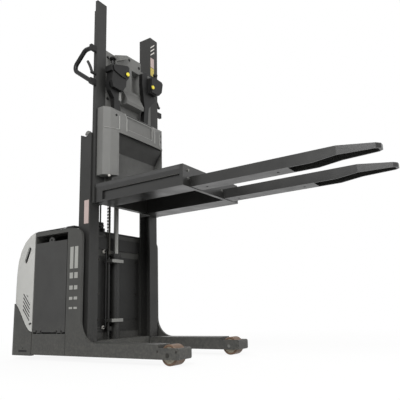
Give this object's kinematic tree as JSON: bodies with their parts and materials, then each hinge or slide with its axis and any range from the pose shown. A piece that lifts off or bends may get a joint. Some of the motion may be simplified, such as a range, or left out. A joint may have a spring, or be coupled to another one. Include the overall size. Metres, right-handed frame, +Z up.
{
  "type": "order picker truck",
  "caption": "Electric order picker truck: operator platform with console and forks ahead of a lifting mast, battery body behind, steered drive wheel and straddle legs.",
  "frame": {"origin": "centre of the bounding box's base, on the floor", "axes": "+X forwards to the fork tips, +Y to the driver's left, +Z up"},
  "size_m": [2.8, 0.842, 2.74],
  "materials": {
    "painted_grey": "satin paint",
    "painted_dark": "satin paint",
    "bumper_plastic": "moulded",
    "pale_plastic": "moulded",
    "battery_case": "moulded",
    "steel": "machined",
    "polyurethane": "tread",
    "cream_hub": "moulded",
    "drive_rubber": "tread",
    "floor_mat": "mat",
    "moulded_grey": "fine grain",
    "pod_black": "fine grain",
    "button_yellow": "smooth"
  },
  "bodies": {
    "truck": {"chassis_base": "painted_grey", "drive_frame": "painted_dark", "leg_right": "painted_grey", "leg_left": "painted_grey", "rear_bumper": "bumper_plastic", "body_shell": "painted_grey", "battery": "battery_case", "mast_rail_right": "painted_dark", "mast_rail_left": "painted_dark", "mast_ties": "painted_dark", "lift_cylinder": "painted_dark", "cylinder_clamps": "steel", "lift_chain_fixed": "steel", "front_cover": "painted_dark", "hood_pins": "steel", "door_hinges": "steel", "load_axle_right": "steel", "load_axle_left": "steel"},
    "load_wheel_right": {"load_tread_right": "polyurethane", "load_hub_right": "cream_hub"},
    "load_wheel_left": {"load_tread_left": "polyurethane", "load_hub_left": "cream_hub"},
    "drive_unit": {"drive_head": "painted_dark", "drive_motor": "painted_dark"},
    "drive_wheel": {"drive_tread": "drive_rubber", "drive_hub": "steel"},
    "door_right": {"battery_door_right": "painted_dark"},
    "door_left": {"battery_door_left": "painted_dark"},
    "hood": {"motor_hood": "pale_plastic"},
    "rod": {"lift_rod": "steel", "chain_pulley": "steel"},
    "carriage": {"lifting_rail_right": "painted_dark", "lifting_rail_left": "painted_dark", "rail_rollers": "steel", "crosshead": "moulded_grey", "back_panel": "moulded_grey", "platform_frame": "painted_grey", "platform_floor": "floor_mat", "fork_plate": "painted_dark", "fork_right": "painted_grey", "fork_left": "painted_grey", "console_cowl": "moulded_grey", "console_lower": "moulded_grey", "control_pod_right": "pod_black", "control_pod_left": "pod_black", "pod_buttons": "button_yellow", "grab_handle_right": "pod_black", "grab_handle_left": "pod_black", "lift_chain_moving": "steel"}
  },
  "joints": [
    {"name": "load_wheel_right_spin", "type": "hinge", "parent": "truck", "child": "load_wheel_right", "pos_m": [0.12, -0.356, 0.0625], "axis": [0, 1, 0], "continuous": true},
    {"name": "load_wheel_left_spin", "type": "hinge", "parent": "truck", "child": "load_wheel_left", "pos_m": [0.12, 0.356, 0.0625], "axis": [0, 1, 0], "continuous": true},
    {"name": "steering", "type": "hinge", "parent": "truck", "child": "drive_unit", "pos_m": [-1.245, 0, 0.2], "axis": [0, 0, 1], "range_deg": [-90, 90]},
    {"name": "drive_wheel_spin", "type": "hinge", "parent": "drive_unit", "child": "drive_wheel", "pos_m": [-1.245, 0, 0.115], "axis": [0, 1, 0], "continuous": true},
    {"name": "door_right_hinge", "type": "hinge", "parent": "truck", "child": "door_right", "pos_m": [-0.9515, -0.414, 0.197], "axis": [1, 0, 0], "range_deg": [0, 80]},
    {"name": "door_left_hinge", "type": "hinge", "parent": "truck", "child": "door_left", "pos_m": [-0.9515, 0.414, 0.197], "axis": [-1, 0, 0], "range_deg": [0, 80]},
    {"name": "hood_lift_off", "type": "slide", "parent": "truck", "child": "hood", "axis": [0, 0, 1], "range_m": [0, 0.35]},
    {"name": "carriage_lift", "type": "slide", "parent": "truck", "child": "carriage", "axis": [0, 0, 1], "range_m": [-0.965, 0.1]},
    {"name": "rod_lift", "type": "slide", "parent": "truck", "child": "rod", "axis": [0, 0, 1], "range_m": [-0.4825, 0.05]}
  ],
  "couplings": [
    {"joint": "rod_lift", "follows": "carriage_lift", "ratio": 0.5}
  ]
}
